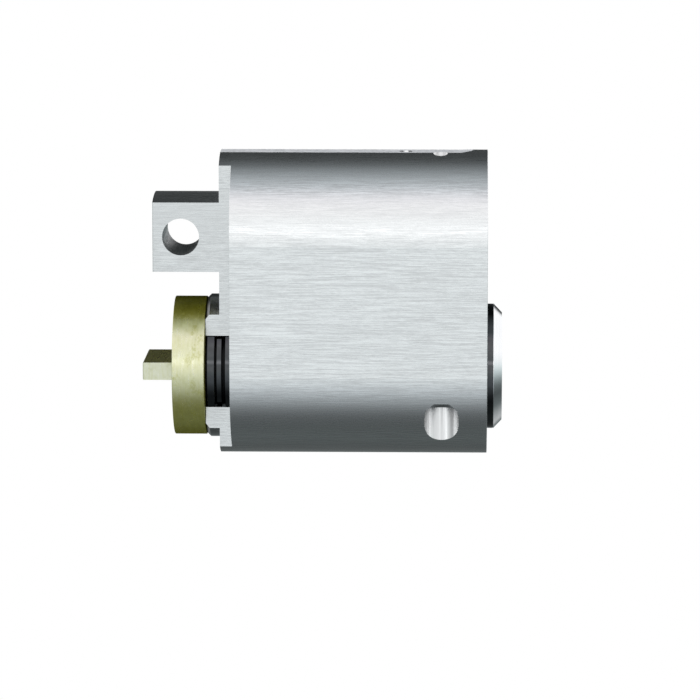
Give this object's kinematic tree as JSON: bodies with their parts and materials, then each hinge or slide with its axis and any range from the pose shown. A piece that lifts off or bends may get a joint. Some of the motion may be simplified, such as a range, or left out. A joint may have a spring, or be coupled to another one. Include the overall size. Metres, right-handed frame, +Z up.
{
  "type": "oval lock cylinder",
  "caption": "Single-sided oval-profile mortice lock cylinder with a rear fixing lug, turning key plug, brass cam disc and flat tail bar.",
  "frame": {"origin": "centre of the cross hole in the rear fixing lug, on the middle plane", "axes": "+X along the plug axis towards the key face, +Y along the lug's cross hole, +Z up from the plug towards the pin stacks"},
  "size_m": [0.039, 0.019, 0.0332],
  "materials": {
    "housing_metal": "satin nickel plate brushed along the plug axis",
    "plug_metal": "nickel plate, turned and polished on the bevel",
    "black_gloss": "glossy black",
    "brass": "pale green-tinted brass, fine turned and slightly mottled",
    "hardened_steel": "ground hardened steel",
    "screw_steel": "zinc plated",
    "pin_brass": "turned brass",
    "pin_steel": "turned nickel silver",
    "spring_steel": "drawn spring wire"
  },
  "bodies": {
    "housing": {"cylinder_housing": "housing_metal", "chamber_plugs": "housing_metal", "housing_guard_pin_front": "hardened_steel", "housing_guard_pin_rear": "hardened_steel", "driver_spring_1": "spring_steel", "driver_spring_2": "spring_steel", "driver_spring_3": "spring_steel", "driver_spring_4": "spring_steel", "driver_spring_5": "spring_steel", "driver_spring_6": "spring_steel"},
    "plug": {"plug": "plug_metal", "plug_guard_pins": "hardened_steel", "front_seal_ring": "black_gloss", "thrust_washer": "black_gloss", "retaining_clip": "black_gloss", "spacer_ring": "black_gloss", "cam_disc": "brass", "tail_bar": "brass", "disc_screws": "screw_steel"},
    "key_pin_1": {"key_pin_1": "pin_brass"},
    "driver_pin_1": {"driver_pin_1": "pin_steel"},
    "key_pin_2": {"key_pin_2": "pin_brass"},
    "driver_pin_2": {"driver_pin_2": "pin_steel"},
    "key_pin_3": {"key_pin_3": "pin_brass"},
    "driver_pin_3": {"driver_pin_3": "pin_steel"},
    "key_pin_4": {"key_pin_4": "pin_brass"},
    "driver_pin_4": {"driver_pin_4": "pin_steel"},
    "key_pin_5": {"key_pin_5": "pin_brass"},
    "driver_pin_5": {"driver_pin_5": "pin_steel"},
    "key_pin_6": {"key_pin_6": "pin_brass"},
    "driver_pin_6": {"driver_pin_6": "pin_steel"}
  },
  "joints": [
    {"name": "plug_turn", "type": "hinge", "parent": "housing", "child": "plug", "pos_m": [0.03315, 0, -0.01468], "axis": [1, 0, 0], "continuous": true},
    {"name": "key_pin_1_slide", "type": "slide", "parent": "plug", "child": "key_pin_1", "axis": [0, 0, 1], "range_m": [-0.00305, 0]},
    {"name": "key_pin_2_slide", "type": "slide", "parent": "plug", "child": "key_pin_2", "axis": [0, 0, 1], "range_m": [-0.00185, 0]},
    {"name": "key_pin_3_slide", "type": "slide", "parent": "plug", "child": "key_pin_3", "axis": [0, 0, 1], "range_m": [-0.00345, 0]},
    {"name": "key_pin_4_slide", "type": "slide", "parent": "plug", "child": "key_pin_4", "axis": [0, 0, 1], "range_m": [-0.00225, 0]},
    {"name": "key_pin_5_slide", "type": "slide", "parent": "plug", "child": "key_pin_5", "axis": [0, 0, 1], "range_m": [-0.00275, 0]},
    {"name": "key_pin_6_slide", "type": "slide", "parent": "plug", "child": "key_pin_6", "axis": [0, 0, 1], "range_m": [-0.00155, 0]},
    {"name": "driver_pin_1_slide", "type": "slide", "parent": "housing", "child": "driver_pin_1", "axis": [0, 0, 1], "range_m": [0, 0.003], "stiffness_N_per_m": 120, "springref_m": -0.004, "deforming": ["driver_spring_1"]},
    {"name": "driver_pin_2_slide", "type": "slide", "parent": "housing", "child": "driver_pin_2", "axis": [0, 0, 1], "range_m": [0, 0.003], "stiffness_N_per_m": 120, "springref_m": -0.004, "deforming": ["driver_spring_2"]},
    {"name": "driver_pin_3_slide", "type": "slide", "parent": "housing", "child": "driver_pin_3", "axis": [0, 0, 1], "range_m": [0, 0.003], "stiffness_N_per_m": 120, "springref_m": -0.004, "deforming": ["driver_spring_3"]},
    {"name": "driver_pin_4_slide", "type": "slide", "parent": "housing", "child": "driver_pin_4", "axis": [0, 0, 1], "range_m": [0, 0.003], "stiffness_N_per_m": 120, "springref_m": -0.004, "deforming": ["driver_spring_4"]},
    {"name": "driver_pin_5_slide", "type": "slide", "parent": "housing", "child": "driver_pin_5", "axis": [0, 0, 1], "range_m": [0, 0.003], "stiffness_N_per_m": 120, "springref_m": -0.004, "deforming": ["driver_spring_5"]},
    {"name": "driver_pin_6_slide", "type": "slide", "parent": "housing", "child": "driver_pin_6", "axis": [0, 0, 1], "range_m": [0, 0.003], "stiffness_N_per_m": 120, "springref_m": -0.004, "deforming": ["driver_spring_6"]}
  ]
}
